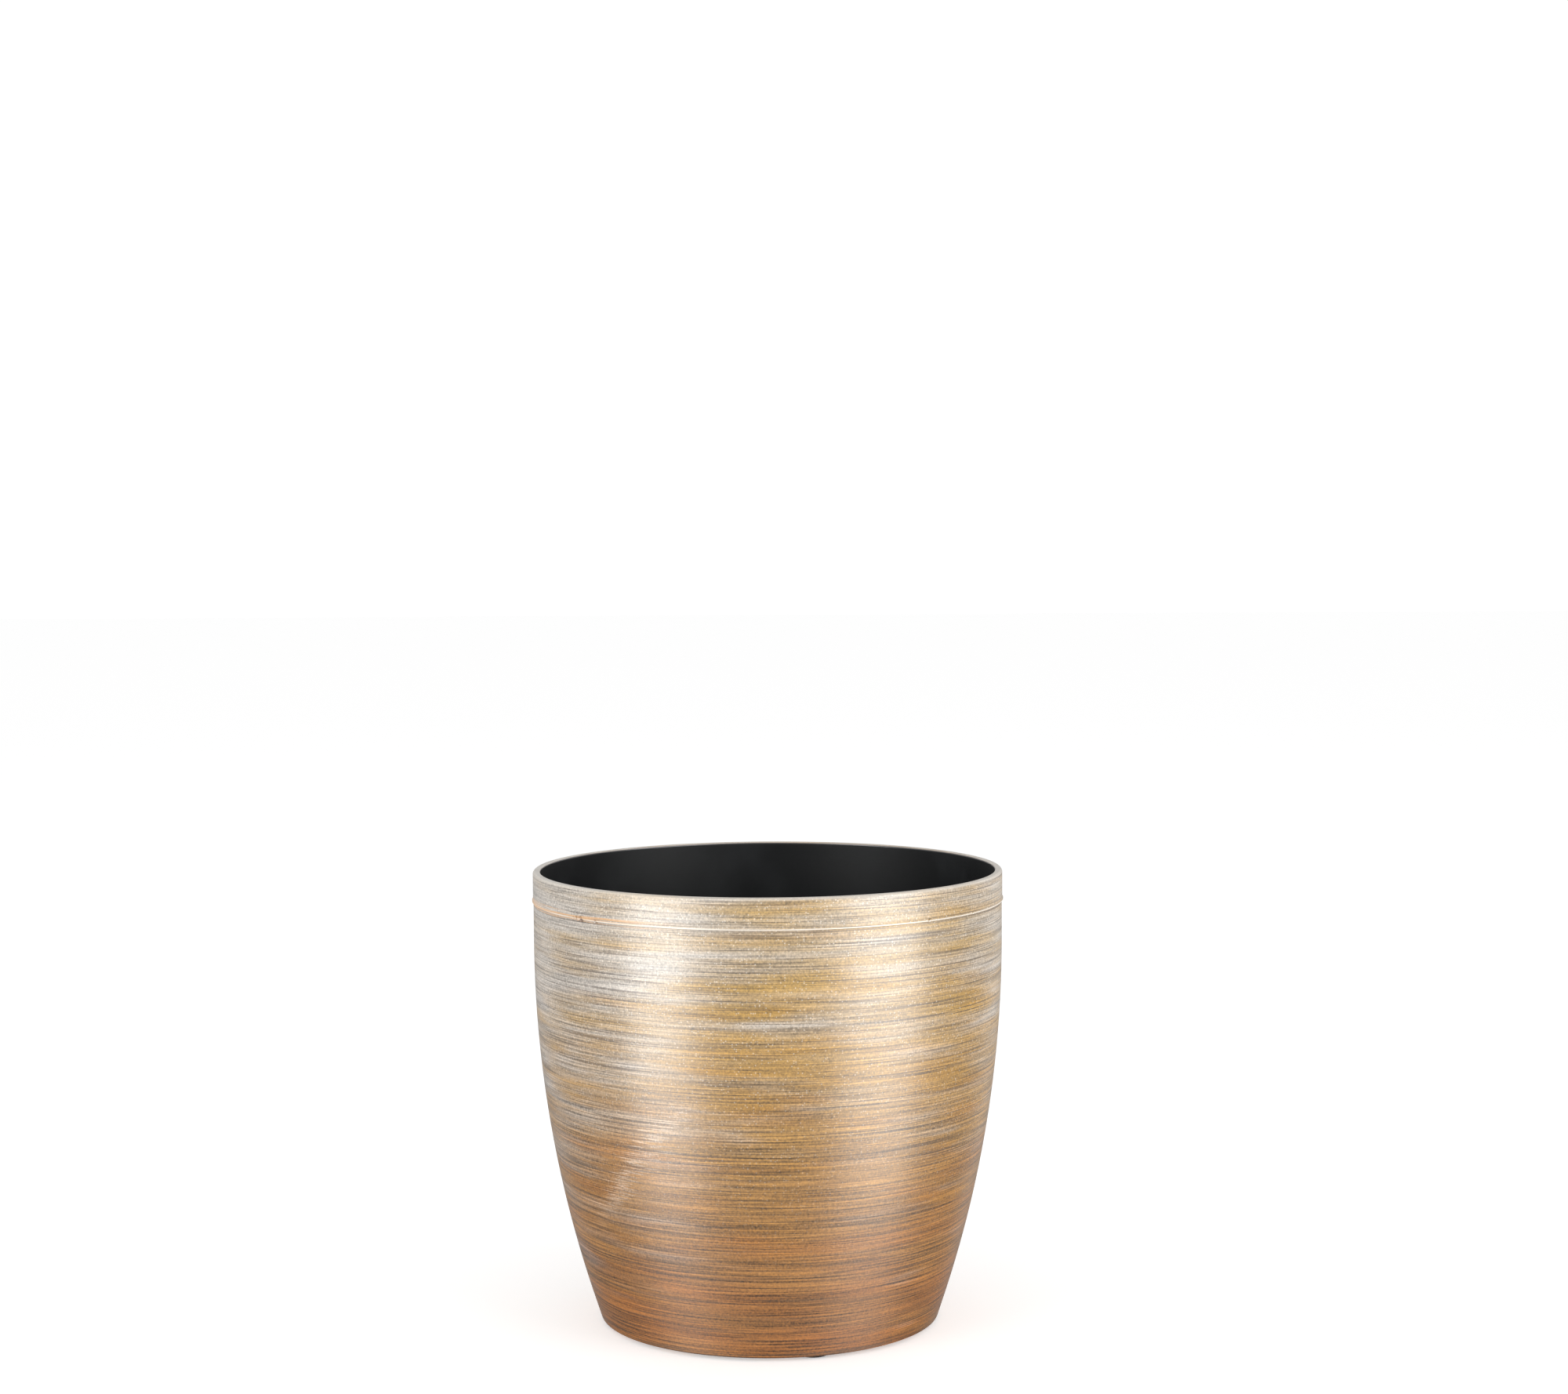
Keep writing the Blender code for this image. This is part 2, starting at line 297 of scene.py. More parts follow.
rising = weighed(coat, [(up, 1.0), (patch, 0.15), (lines, 0.1)], -0.12)
colour = laid_over(coat, SHADED_COPPER, CHAMPAGNE, [(rising, 0.0, 1.0)])
golden = strokes(coat, moved, length_mm=46, width_mm=6, offset=31.3)
gold = weighed(coat, [(golden, 0.9), (fine, 0.06), (side, 0.6)], 0.03)
gilded = [(gold, GOLD_FROM, GOLD_FULL)]
colour = laid_over(coat, colour, GOLD_GLAZE, gilded, blend="MULTIPLY")
copper = weighed(coat, [(patch, 0.9), (lines, 0.08), (up, -0.25)], 0.035)
coppered = [(copper, COPPER_FROM, COPPER_FULL)]
colour = laid_over(coat, colour, COPPER_GLAZE, coppered, COPPER_MOST, "MULTIPLY")
print("nodes with gold and copper:", len(coat.nodes))

# %% [markdown]
# Silver is as light as the gold but has lost its colour, so this layer takes the colour out and
# doesn't lay a grey over it. It is partly the brush's own silver strokes and partly painted sheen.
# There is more of it high on the pot, where the light is paler, and at the sides, where the lacquer
# seen edge-on shines grey. It is most on the side turned to -X, where the left highlight is whitest,
# and less in the middle of the front.

# %% Lacquer: silver and painted sheen
SILVER_AND_SHEEN_COLOUR_LEFT = 0.25
SILVER_AND_SHEEN_LIGHTER = 1.08
SILVER_AND_SHEEN_FROM, SILVER_AND_SHEEN_FULL = 0.54, 0.94

silvery = strokes(coat, moved, length_mm=42, width_mm=6, offset=41.3)
# More towards the sides, where the wall turns away: painted sheen, not only silver paint.
sheen_at_sides = add(coat, "ShaderNodeMath", {0: side}, operation="ABSOLUTE")
silver_and_sheen_parts = [(silvery, 0.7), (lines, 0.2), (hair, 0.05), (up, 0.36)]
silver_and_sheen_parts += [(side, -0.9), (sheen_at_sides, 1.8)]
silver_and_sheen_sum = weighed(coat, silver_and_sheen_parts, -0.105)
silver_and_sheen = where(coat, [(silver_and_sheen_sum, SILVER_AND_SHEEN_FROM, SILVER_AND_SHEEN_FULL)])
# Takes the colour out and lightens a little: silver strokes and painted sheen together.
colour = add(
    coat,
    "ShaderNodeHueSaturation",
    {"Fac": silver_and_sheen, "Color": colour, "Saturation": SILVER_AND_SHEEN_COLOUR_LEFT, "Value": SILVER_AND_SHEEN_LIGHTER},
)
print("nodes with silver:", len(coat.nodes))

# %% [markdown]
# A painter can't pull a brush right round a pot, so somewhere one pull ends on top of another. Here
# it is a slanting line low on the front: the pull's ragged silver ends, and more copper beside them.
# The line's place is an angle round the pot that grows with height.

# %% Lacquer: where a pull of the brush ended
# Pale silver of the pull's ends, also laid as painted highlights on the ridge and the lip.
SILVER_AND_HIGHLIGHT = linear("#E9E0D2")
SEAM_HEIGHT = 0.058
SEAM_REACH = 0.026
SEAM_SLANT = 14.2
SEAM_START = 1.14
SEAM_EDGE = (0.02, -0.03)
COPPER_BESIDE, COPPER_BESIDE_MOST = (-0.70, -0.20), 0.6
SILVER_ENDS, SILVER_ENDS_MOST = (-0.10, -0.02), 0.3


def near(tree, value, level, reach):
    """A step that is passed only within this reach of a level."""
    above = weighed(tree, [(value, 1.0)], -level)
    away = add(tree, "ShaderNodeMath", {0: above}, operation="ABSOLUTE")
    return away, reach, reach / 3


front = weighed(coat, [(depth, -1.0)])
angle = add(coat, "ShaderNodeMath", {0: side, 1: front}, operation="ARCTAN2")
across = weighed(coat, [(height, -SEAM_SLANT), (fine, 0.5), (angle, 1.0)], SEAM_START)
span = near(coat, height, SEAM_HEIGHT, SEAM_REACH)
past = (across, *SEAM_EDGE)
beside = [span, past, (across, *COPPER_BESIDE)]
colour = laid_over(coat, colour, COPPER_GLAZE, beside, COPPER_BESIDE_MOST, "MULTIPLY")
ends = [span, past, (across, *SILVER_ENDS)]
colour = laid_over(coat, colour, SILVER_AND_HIGHLIGHT, ends, SILVER_ENDS_MOST)
print("nodes with the pull's end:", len(coat.nodes))

# %% [markdown]
# The bare lines are thin and sharp, and lie in bunches, because neighbouring bristles run dry
# together. Hair lines and the grain then lighten and darken the paint that is left, more strongly
# low down. Last come painted glints: single flakes that face the light, about one grain in six and
# only its middle, painted near white. There are more of them towards the lip.

# %% Lacquer: bare lines, hair lines and painted flake glints
# The bare ground's dark, also laid under the ridge as a painted shadow.
BARE_AND_SHADOW = linear("#46331F")
FLAKE_GLINT = linear("#FFFAF0")
BARE_MOST = 0.6
FLAKE_GLINT_MOST = 0.35

bunched = strokes(coat, moved, length_mm=60, width_mm=4, offset=43.1)
line = strokes(coat, moved, length_mm=40, width_mm=0.38, offset=51.7)
bare = where(coat, [(bunched, -0.20, 0.60), (line, 0.52, 0.63)], BARE_MOST)
colour = add(coat, "ShaderNodeMix", {"Factor": bare, "A": colour, "B": BARE_AND_SHADOW}, data_type="RGBA")
low_fine = add(coat, "ShaderNodeMath", {0: low, 1: fine}, operation="MULTIPLY")
tone_parts = [(hair, 1.15), (fine, 0.9), (grain, 1.4), (low_fine, 1.8), (low, -0.9)]
tone = weighed(coat, tone_parts, -0.675)
colour = laid_over(coat, colour, tone, [], blend="MULTIPLY")
# Painted glints: single flake cells painted near white, more of them towards the lip.
cells = add(coat, "ShaderNodeTexVoronoi", {"Vector": spot, "Scale": GRAINS_PER_METRE})
pick = add(coat, "ShaderNodeSeparateColor", {0: cells.outputs["Color"]})
flake_glint = [(pick, 0.80, 0.85), (cells.outputs["Distance"], 0.5, 0.2), (up, 0.0, 1.0)]
colour = laid_over(coat, colour, FLAKE_GLINT, flake_glint, FLAKE_GLINT_MOST)
print("nodes with lines and flakes:", len(coat.nodes))

# %% [markdown]
# A painted highlight runs along the ridge's crest and another round the lip, where their rounded
# edges catch the light. On the side turned to -X the brush left a ragged smear of copper along the
# ridge. A thin line of painted shadow lies in the corner under the ridge. The paint stops just
# inside the lip and under the foot, where the last thin film of it looks red-brown over the black.
# How much paint there is comes with each piece, as a value that its points carry.

# %% Lacquer: ridge, lip and edges
FRINGE = linear("#4A2418")
BLACK = linear("#121314")
RUBBED_COPPER = linear("#DFA766")
CREST_Z = BAND_BOTTOM_Z - RIDGE_HEIGHT / 2
RIDGE_SHADOW_BELOW, RIDGE_SHADOW_REACH, RIDGE_SHADOW_MOST = 0.0008, 0.0004, 0.3
RIDGE_HIGHLIGHT_BELOW, RIDGE_HIGHLIGHT_REACH, RIDGE_HIGHLIGHT_MOST = 0.0001, 0.0003, 0.8
SMEAR_ABOVE, SMEAR_REACH, SMEAR_MOST = 0.0002, 0.0008, 0.7
SMEAR_STARTS, SMEAR_FULL = -0.020, -0.045
RAGGED = 0.0044
LIP_HIGHLIGHT_REACH, LIP_HIGHLIGHT_MOST = 0.0009, 0.55

# Painted shadow: a thin dark line in the corner under the ridge's ledge, in the bare ground's colour.
corner = near(coat, height, CREST_Z - RIDGE_SHADOW_BELOW, RIDGE_SHADOW_REACH)
colour = laid_over(coat, colour, BARE_AND_SHADOW, [corner], RIDGE_SHADOW_MOST)
# Painted highlight: a bright line along the crest of the ridge, where its edge catches the light.
crest = near(coat, height, CREST_Z - RIDGE_HIGHLIGHT_BELOW, RIDGE_HIGHLIGHT_REACH)
colour = laid_over(coat, colour, SILVER_AND_HIGHLIGHT, [crest], RIDGE_HIGHLIGHT_MOST)
ragged = weighed(coat, [(fine, RAGGED), (height, 1.0)], -RAGGED / 2)
smear = near(coat, ragged, CREST_Z + SMEAR_ABOVE, SMEAR_REACH)
smeared = [smear, (side, SMEAR_STARTS, SMEAR_FULL)]
colour = laid_over(coat, colour, RUBBED_COPPER, smeared, SMEAR_MOST)
# Painted highlight: a bright band round the lip, where its rounded edge catches the light.
lip_highlight = near(coat, height, LIP_Z, LIP_HIGHLIGHT_REACH)
colour = laid_over(coat, colour, SILVER_AND_HIGHLIGHT, [lip_highlight], LIP_HIGHLIGHT_MOST)

carried = add(coat, "ShaderNodeAttribute", attribute_name="lacquer").outputs["Fac"]
edge = weighed(coat, [(fine, 0.5), (carried, 1.0)], -0.25)
colour = laid_over(coat, colour, FRINGE, [(edge, 0.95, 0.62)])
colour = laid_over(coat, colour, BLACK, [(edge, 0.55, 0.45)])
print("nodes with the edges:", len(coat.nodes))

# %% [markdown]
# The flakes lie flat in the lacquer like tiny mirrors, so it is part metal, with a clear coat over
# them that blurs. Dense flakes throw back more light than plain lacquer does, so the index is above
# lacquer's own 1.5. The brush's grooves run round the pot and spread a highlight across themselves,
# up the wall. The tangent runs round too, so the spread is turned by a quarter.

# %% Lacquer: surface
METAL_SHARE = 0.13
FLAKED_IOR = 1.8
COAT_IOR = 1.85
COAT_WEIGHT = 0.9
COAT_ROUGHNESS = 0.35
FLAKE_ROUGHNESS = 0.40
ACROSS_GROOVES = 0.7
QUARTER_TURN = 0.25
GROOVE_DEPTH = 0.00006

shader = coat.nodes["Principled BSDF"]
metal = where(coat, [(edge, 0.45, 0.55)], METAL_SHARE)
rough = weighed(coat, [(hair, 0.2), (silver_and_sheen, -0.05), (bare, 0.1)], FLAKE_ROUGHNESS)
relief = weighed(coat, [(hair, 0.6), (fine, 0.5), (bare, -0.5), (grain, 0.4)])
bump = add(coat, "ShaderNodeBump", {"Strength": 0.6, "Distance": GROOVE_DEPTH, "Height": relief})
round_pot = add(coat, "ShaderNodeTangent", direction_type="RADIAL", axis="Z")
coat.links.new(colour.outputs["Result"], shader.inputs["Base Color"])
coat.links.new(metal.outputs[0], shader.inputs["Metallic"])
coat.links.new(rough.outputs[0], shader.inputs["Roughness"])
coat.links.new(bump.outputs[0], shader.inputs["Normal"])
coat.links.new(round_pot.outputs[0], shader.inputs["Tangent"])
shader.inputs["IOR"].default_value = FLAKED_IOR
shader.inputs["Anisotropic"].default_value = ACROSS_GROOVES
shader.inputs["Anisotropic Rotation"].default_value = QUARTER_TURN
shader.inputs["Coat Weight"].default_value = COAT_WEIGHT
shader.inputs["Coat Roughness"].default_value = COAT_ROUGHNESS
shader.inputs["Coat IOR"].default_value = COAT_IOR
print("lacquer nodes:", len(coat.nodes))

# %% [markdown]
# ## Black plastics and rubber
#
# The cover pot's inside is the bare moulding: polypropylene, satin, with the faint orange peel of a
# mould that was spark eroded and not polished. The grow pot is the same plastic, thinner and duller.
# The pads are soft rubber, which has hardly any shine. A thin haze of dust lightens all three in
# soft clouds, so that none of them is a dead even black. Their grain is drawn at about half a
# millimetre, a few times as coarse as a mould's own, so that it shows.


# %% Black plastics and rubber
DUST = linear("#34373A")
DUST_MOST = 0.25
POLYMER_IOR = 1.49
CLOUDS_PER_METRE = 45.0


def make_black(name, colour, roughness, grain_mm, relief):
    """A moulded black: fine grain in its shine and in its surface."""
    material = bpy.data.materials.new(name)
    material.use_nodes = True
    tree = material.node_tree
    shader = tree.nodes["Principled BSDF"]
    place = add(tree, "ShaderNodeTexCoord").outputs["Object"]
    grain_scale = 1000 / grain_mm
    grain = add(tree, "ShaderNodeTexNoise", {"Vector": place, "Scale": grain_scale, "Detail": 3.0})
    cloud = add(
        tree, "ShaderNodeTexNoise", {"Vector": place, "Scale": CLOUDS_PER_METRE, "Detail": 3.0}
    )
    dusty = (cloud, 0.45, 0.8)
    tint = laid_over(tree, linear(colour), DUST, [dusty], DUST_MOST)
    rough = weighed(tree, [(grain, 0.12), (where(tree, [dusty]), 0.12)], roughness - 0.06)
    bump = add(tree, "ShaderNodeBump", {"Strength": 0.5, "Distance": relief, "Height": grain})
    tree.links.new(tint.outputs["Result"], shader.inputs["Base Color"])
    tree.links.new(rough.outputs[0], shader.inputs["Roughness"])
    tree.links.new(bump.outputs[0], shader.inputs["Normal"])
    shader.inputs["IOR"].default_value = POLYMER_IOR
    return material


bare_moulding = make_black(
    "satin_black_polypropylene", "#0C0E10", roughness=0.48, grain_mm=0.5, relief=0.00004
)
thin_plastic = make_black(
    "thin_black_polypropylene", "#18191A", roughness=0.50, grain_mm=0.8, relief=0.00005
)
rubber = make_black("black_rubber", "#0F0F0F", roughness=0.85, grain_mm=0.4, relief=0.00006)
print("blacks:", bare_moulding.name, thin_plastic.name, rubber.name)

# %% [markdown]
# ## The lathe
#
# Both pots and the pads are round, so each is half an outline turned round its axis. In Geometry
# Nodes that is Curve to Mesh: the outline is the profile, and a circle is the path. The outline
# starts as a mesh of edges, because a mesh can carry a value at each point, and the sweep hands that
# value on to the surface. Here the value says how much lacquer there is, so the paint's edge stays
# with the shape. The outline reaches the axis at both ends, where Merge by Distance closes the poles.


# %% The lathe tree
def new_tree(name, sizes):
    """A Geometry Nodes tree with a geometry in and out, and one named input for each size."""
    tree = bpy.data.node_groups.new(name, "GeometryNodeTree")
    tree.interface.new_socket("Geometry", in_out="OUTPUT", socket_type="NodeSocketGeometry")
    tree.interface.new_socket("Geometry", in_out="INPUT", socket_type="NodeSocketGeometry")
    for label, kind in sizes.items():
        tree.interface.new_socket(label, in_out="INPUT", socket_type=kind)
    return tree, tree.nodes.new("NodeGroupInput").outputs


PATH_RADIUS = 0.05
SHARP_ANGLE = math.radians(35)
MERGE_REACH = 1e-6


def lathe(tree, outline, segments):
    """Nodes that turn an outline of edges round Z and close it at the axis."""
    profile = add(tree, "GeometryNodeMeshToCurve", {"Mesh": outline})
    path = add(
        tree, "GeometryNodeCurvePrimitiveCircle", {"Resolution": segments, "Radius": PATH_RADIUS}
    )
    turned = add(tree, "GeometryNodeCurveToMesh", {"Curve": path, "Profile Curve": profile})
    return add(tree, "GeometryNodeMergeByDistance", {"Geometry": turned, "Distance": MERGE_REACH})


def finish_tree(tree, geometry, materials):
    """Ends a tree: instances made real, then each material on the faces it is for."""
    last = add(tree, "GeometryNodeRealizeInstances", {"Geometry": geometry})
    for material, selection in materials:
        last = add(tree, "GeometryNodeSetMaterial", {"Geometry": last, "Material": material})
        if selection:
            tree.links.new(selection.outputs[0], last.inputs["Selection"])
    add(tree, "NodeGroupOutput", {"Geometry": last})


def outline_mesh(name, points, lacquered=()):
    """An outline of (radius, height) points as edges, each with its amount of lacquer."""
    mesh = bpy.data.meshes.new(name)
    corners = [(radius - PATH_RADIUS, -height, 0.0) for radius, height in points]
    mesh.from_pydata(corners, [(i, i + 1) for i in range(len(corners) - 1)], [])
    amount = mesh.attributes.new("lacquer", "FLOAT", "POINT")
    amount.data.foreach_set("value", lacquered or [0.0] * len(corners))
    return mesh


def run_tree(name, tree, start, values, body, nodes):
    """Runs a tree on a start mesh, and leaves a plain mesh that stands for its CAD nodes."""
    source = bpy.data.objects.new(name + "_start", start)
    bpy.context.scene.collection.objects.link(source)
    modifier = source.modifiers.new("tree", "NODES")
    modifier.node_group = tree
    for item in tree.interface.items_tree:
        if item.in_out == "INPUT" and item.name in values:
            modifier[item.identifier] = values[item.name]
    evaluated = source.evaluated_get(bpy.context.evaluated_depsgraph_get())
    mesh = bpy.data.meshes.new_from_object(evaluated)
    source.modifiers.remove(modifier)
    bpy.data.objects.remove(source)
    work = bmesh.new()
    work.from_mesh(mesh)
    bmesh.ops.recalc_face_normals(work, faces=work.faces)
    open_edges = sum(not edge.is_manifold for edge in work.edges)
    volume = work.calc_volume(signed=True)
    work.to_mesh(mesh)
    work.free()
    mesh.shade_smooth()
    mesh.set_sharp_from_angle(angle=SHARP_ANGLE)
    piece = bpy.data.objects.new(name, mesh)
    bpy.context.scene.collection.objects.link(piece)
    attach(piece, body)
    if nodes:
        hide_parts(*nodes)
    print(f"{name}: {len(mesh.polygons)} faces, {open_edges} open edges, {volume * 1e6:.2f} cm3")
    return piece


def arc(centre, radius, start, end, steps):
    """Points along an arc of an outline, in degrees from the outward direction."""
    angles = [math.radians(start + (end - start) * i / steps) for i in range(steps + 1)]
    return [
        (centre[0] + radius * math.cos(angle), centre[1] + radius * math.sin(angle))
        for angle in angles
    ]


def between(start, end, steps):
    """Points on a straight stretch of an outline, without its first one."""
    shares = [(i + 1) / steps for i in range(steps)]
    return [
        (start[0] + (end[0] - start[0]) * share, start[1] + (end[1] - start[1]) * share)
        for share in shares
    ]


print("the lathe is ready")

# %% [markdown]
# ## The cover pot
#
# One moulding: underside, foot, wall, parting ridge, band, lip, inner wall and floor, in that order
# along the outline. The ridge is where the two halves of the mould met, so it is only a quarter of a
# millimetre proud, with a sharp upper edge that catches the light. The lacquer covers the outside,
# wraps over the lip and stops half a millimetre inside, and stops again under the foot.

# %% Cover pot outline
WALL_STEPS = 30
ROUND_STEPS = 8
INNER_LIP_HEIGHT = 0.004


def outside_outline():
    """From the middle of the underside, round the foot, up the wall and over the lip."""
    underside = FOOT_Z + RECESS_DEPTH
    points = [(0.0, underside)]
    points += between(points[-1], (RECESS_RADIUS - RECESS_DEPTH, underside), 6)
    points += between(points[-1], (RECESS_RADIUS, FOOT_Z), 2)
    start_z = FOOT_Z + FOOT_ROUND
    foot_centre = (wall_radius(start_z) - FOOT_ROUND, start_z)
    points += between(points[-1], (foot_centre[0], FOOT_Z), 8)[:-1]
    points += arc(foot_centre, FOOT_ROUND, -90, -WALL_LEAN, ROUND_STEPS)
    ridge_low = BAND_BOTTOM_Z - RIDGE_HEIGHT
    for i in range(1, WALL_STEPS + 1):
        z = start_z + (ridge_low - start_z) * i / WALL_STEPS
        points.append((wall_radius(z), z))
    crest = RIM_RADIUS + RIDGE_PROUD
    points.append((crest, ridge_low + RIDGE_LOWER_FLANK))
    points.append((crest, BAND_BOTTOM_Z - RIDGE_UPPER_FLANK))
    points.append((RIM_RADIUS, BAND_BOTTOM_Z))
    lip_start = (RIM_RADIUS, LIP_Z - LIP_OUTER_ROUND)
    points += between(points[-1], lip_start, 6)[:-1]
    lip_centre = (RIM_RADIUS - LIP_OUTER_ROUND, lip_start[1])
    return points + arc(lip_centre, LIP_OUTER_ROUND, 0, 90, ROUND_STEPS)


def inside_outline():
    """From the lip, down the inside and along the floor to the middle."""
    lip_centre = (RIM_RADIUS - LIP_THICKNESS + LIP_INNER_ROUND, LIP_Z - LIP_INNER_ROUND)
    points = arc(lip_centre, LIP_INNER_ROUND, 90, 180, 6)
    last_z = FLOOR_Z + FLOOR_FILLET
    inner_lip_end = LIP_Z - INNER_LIP_HEIGHT
    points += between(points[-1], (wall_radius(inner_lip_end) - WALL, inner_lip_end), 8)
    for i in range(1, WALL_STEPS + 1):
        z = inner_lip_end + (last_z - inner_lip_end) * i / WALL_STEPS
        points.append((wall_radius(z) - WALL, z))
    fillet_centre = (wall_radius(last_z) - WALL - FLOOR_FILLET, last_z)
    points += arc(fillet_centre, FLOOR_FILLET, -WALL_LEAN, -90, ROUND_STEPS)
    return points + between(points[-1], (0.0, FLOOR_Z), 10)


PAINT_FULL = 1.5
PAINT_UNDER_FOOT = FOOT_RADIUS - 0.004
PAINT_FADE = 0.0015
PAINT_INSIDE_LIP = 0.0006


def lacquer_on(point):
    """How much lacquer there is at a point of the outline: over 1 is full, and 0 is none."""
    radius, height = point
    on_foot_or_under = height < FOOT_Z + RECESS_DEPTH + 1e-5 and radius < FOOT_RADIUS
    if on_foot_or_under:
        return PAINT_FULL * min(1.0, max(0.0, (radius - PAINT_UNDER_FOOT) / PAINT_FADE))
    is_outside = radius > wall_radius(height) - WALL / 2
    if is_outside:
        return PAINT_FULL
    return PAINT_FULL * max(0.0, 1.0 - (LIP_Z - height) / PAINT_INSIDE_LIP)


cover_points = outside_outline() + inside_outline()
amounts = [lacquer_on(point) for point in cover_points]
print(f"outline of {len(amounts)} points, {sum(a > 0 for a in amounts)} of them painted")

# %% [markdown]
# The pads sit in four round pockets in the foot, so the cover pot's tree also sets a cylinder at
# each pad's place and cuts them away with Mesh Boolean. Its Exact solver leaves clean edges and
# keeps the lacquer's value on every point.


# %% Cover pot
def ring_of(tree, piece, count, radius, first_angle, height):
    """Copies of a piece, evenly spaced round Z at this height."""
    circle = add(tree, "GeometryNodeMeshCircle", {"Vertices": count, "Radius": radius})
    turn = add(tree, "ShaderNodeCombineXYZ", {"Z": first_angle})
    lift = add(tree, "ShaderNodeCombineXYZ", {"Z": height})
    placed = add(
        tree,
        "GeometryNodeTransform",
        {"Geometry": circle, "Translation": lift, "Rotation": turn},
    )
    return add(tree, "GeometryNodeInstanceOnPoints", {"Points": placed, "Instance": piece})


GAP = 0.0003
PAD_COUNT = 4
PAD_FIRST_ANGLE = math.radians(-74)
PAD_RADIUS = 0.0045
PAD_EDGE_MARGIN = 0.0013
POCKET_DEPTH = 0.0007
POCKET_RADIUS = PAD_RADIUS + GAP
PAD_RING_RADIUS = FOOT_RADIUS - PAD_EDGE_MARGIN - POCKET_RADIUS
POCKET_SIDES = 40
POT_SEGMENTS = 192
PAINT_LEAST = 0.001
FLOAT, WHOLE = "NodeSocketFloat", "NodeSocketInt"

tree, given = new_tree(
    "turned_cover_pot",
    {
        "Segments": WHOLE,
        "Pad Count": WHOLE,
        "Pad Ring": FLOAT,
        "First Angle": FLOAT,
        "Pocket Radius": FLOAT,
        "Pocket Top": FLOAT,
    },
)
body = lathe(tree, given["Geometry"], given["Segments"])
tall = weighed(tree, [(given["Pocket Top"], 2.0)])
pocket = add(
    tree,
    "GeometryNodeMeshCylinder",
    {"Vertices": POCKET_SIDES, "Radius": given["Pocket Radius"], "Depth": tall},
)
pockets = ring_of(
    tree, pocket, given["Pad Count"], given["Pad Ring"], given["First Angle"], 0.0
)
cut = add(
    tree,
    "GeometryNodeMeshBoolean",
    {"Mesh 1": body, "Mesh 2": pockets},
    operation="DIFFERENCE",
    solver="EXACT",
)
amount = add(tree, "GeometryNodeInputNamedAttribute", {"Name": "lacquer"}, data_type="FLOAT")
has_paint = add(
    tree, "FunctionNodeCompare", {0: amount, 1: PAINT_LEAST}, operation="GREATER_THAN"
)
finish_tree(tree, cut, [(bare_moulding, None), (lacquer, has_paint)])
run_tree(
    "cover_pot_shell",
    tree,
    outline_mesh("cover_pot_outline", cover_points, amounts),
    {
        "Segments": POT_SEGMENTS,
        "Pad Count": PAD_COUNT,
        "Pad Ring": PAD_RING_RADIUS,
        "First Angle": PAD_FIRST_ANGLE,
        "Pocket Radius": POCKET_RADIUS,
        "Pocket Top": FOOT_Z + POCKET_DEPTH,
    },
    "cover_pot",
    ["cover_pot"],
)

# %% [markdown]
# ## Flash on the ridge
#
# Where the mould's halves met, a little plastic was squeezed out and broke off in tiny nubs, and
# the brush went over them. They are one or two millimetres long, so a small sphere for each is
# enough. One tree spreads ten of them in a cluster and nine round the whole ridge, with a fixed
# seed, and draws each its own size, height and amount of paint.


# %% Flash nubs
def scattered(tree, count, middle, spread, seed):
    """Points on the ridge, at random angles within this spread of a middle angle."""
    line = add(tree, "GeometryNodeMeshLine", {"Count": count})
    least = weighed(tree, [(spread, -1.0)], middle)
    most = weighed(tree, [(spread, 1.0)], middle)
    angle = add(
        tree,
        "FunctionNodeRandomValue",
        {"Min": least, "Max": most, "Seed": seed},
        data_type="FLOAT",
    )
    across = add(tree, "ShaderNodeMath", {0: angle}, operation="SINE")
    back = add(tree, "ShaderNodeMath", {0: angle}, operation="COSINE")
    way = add(tree, "ShaderNodeCombineXYZ", {"X": across, "Y": weighed(tree, [(back, -1.0)])})
    return add(tree, "GeometryNodeSetPosition", {"Geometry": line, "Position": way})


NUB_PAINT_LEAST = 0.5
NUB_PAINT_MOST = 1.6
NUB_LEAST = (0.4, 0.5, 0.4)
NUB_MOST = (0.8, 1.1, 0.8)
NUB_SIZE = 0.0008
NUBS_IN_CLUSTER, SINGLE_NUBS = 10, 9
CLUSTER_ANGLE, CLUSTER_SPREAD = math.radians(-50.5), math.radians(1.9)
LOWEST_NUB_Z, HIGHEST_NUB_Z = CREST_Z - 0.0005, CREST_Z + 0.0003
NUB_SEED = 11
tree, given = new_tree(
    "flash_nubs",
    {
        "Cluster Count": WHOLE,
        "Cluster Angle": FLOAT,
        "Cluster Spread": FLOAT,
        "Single Count": WHOLE,
        "Ring Radius": FLOAT,
        "Height Least": FLOAT,
        "Height Most": FLOAT,
        "Nub Size": FLOAT,
        "Seed": WHOLE,
    },
)
cluster = scattered(
    tree, given["Cluster Count"], given["Cluster Angle"], given["Cluster Spread"], given["Seed"]
)
singles = scattered(tree, given["Single Count"], 0.0, math.pi, given["Seed"])
joined = add(tree, "GeometryNodeJoinGeometry", {0: cluster})
tree.links.new(singles.outputs[0], joined.inputs[0])
way = add(tree, "GeometryNodeInputPosition")
out = add(
    tree,
    "ShaderNodeVectorMath",
    {"Vector": way, "Scale": given["Ring Radius"]},
    operation="SCALE",
)
heights = add(
    tree,
    "FunctionNodeRandomValue",
    {"Min": given["Height Least"], "Max": given["Height Most"], "Seed": given["Seed"]},
    data_type="FLOAT",
)
lift = add(tree, "ShaderNodeCombineXYZ", {"Z": heights})
on_ridge = add(
    tree, "GeometryNodeSetPosition", {"Geometry": joined, "Position": out, "Offset": lift}
)
facing = add(tree, "FunctionNodeAlignRotationToVector", {"Vector": way}, axis="X")
